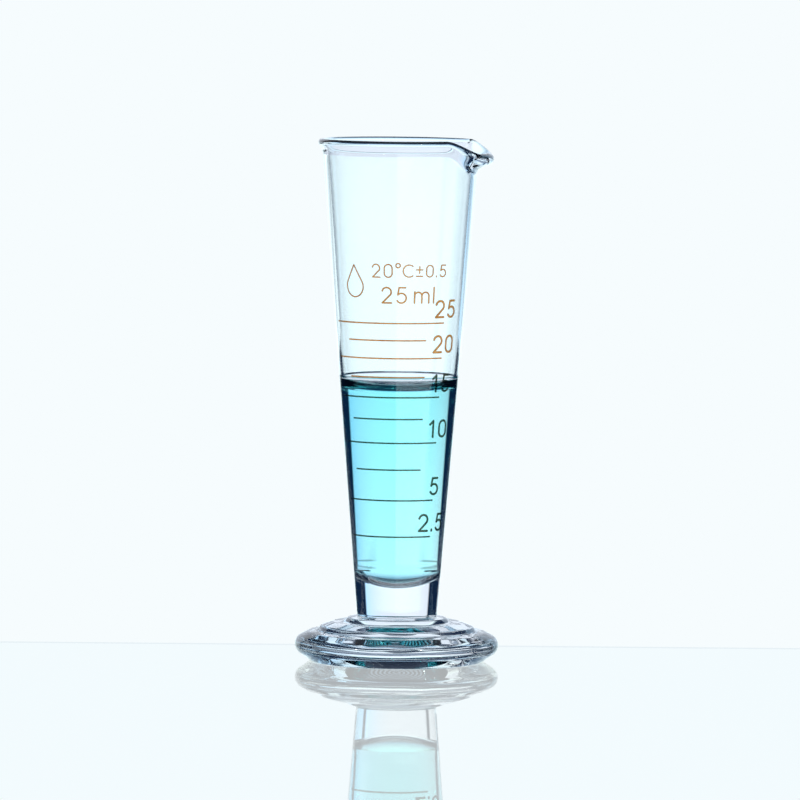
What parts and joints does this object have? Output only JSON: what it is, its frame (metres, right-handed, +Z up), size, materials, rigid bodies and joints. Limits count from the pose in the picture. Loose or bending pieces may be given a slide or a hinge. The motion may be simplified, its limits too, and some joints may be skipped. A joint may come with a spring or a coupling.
{
  "type": "conical measuring glass",
  "caption": "Tapered glass measure with a pouring lip, a solid stem on a stepped round foot, an enamel volume scale and a coloured liquid inside.",
  "frame": {"origin": "centre of the foot's underside, on the surface the glass stands on", "axes": "+Z up the glass's axis, +X towards the pouring lip, and the printed scale faces -Y"},
  "size_m": [0.0482, 0.0482, 0.1231],
  "materials": {
    "clear_glass": "gloss",
    "tinted_liquid": "gloss",
    "enamel_print": "satin"
  },
  "bodies": {
    "root": {"capacity_25_ml": "enamel_print", "coloured_liquid": "tinted_liquid", "drop_symbol": "enamel_print", "glass_cup": "clear_glass", "glass_foot": "clear_glass", "mark_10_ml": "enamel_print", "mark_12_5_ml": "enamel_print", "mark_15_ml": "enamel_print", "mark_17_5_ml": "enamel_print", "mark_20_ml": "enamel_print", "mark_22_5_ml": "enamel_print", "mark_25_ml": "enamel_print", "mark_2_5_ml": "enamel_print", "mark_5_ml": "enamel_print", "mark_7_5_ml": "enamel_print", "numeral_10": "enamel_print", "numeral_15": "enamel_print", "numeral_20": "enamel_print", "numeral_25": "enamel_print", "numeral_2_5": "enamel_print", "numeral_5": "enamel_print", "temperature_20_c": "enamel_print", "tolerance_0_5": "enamel_print"}
  },
  "joints": []
}
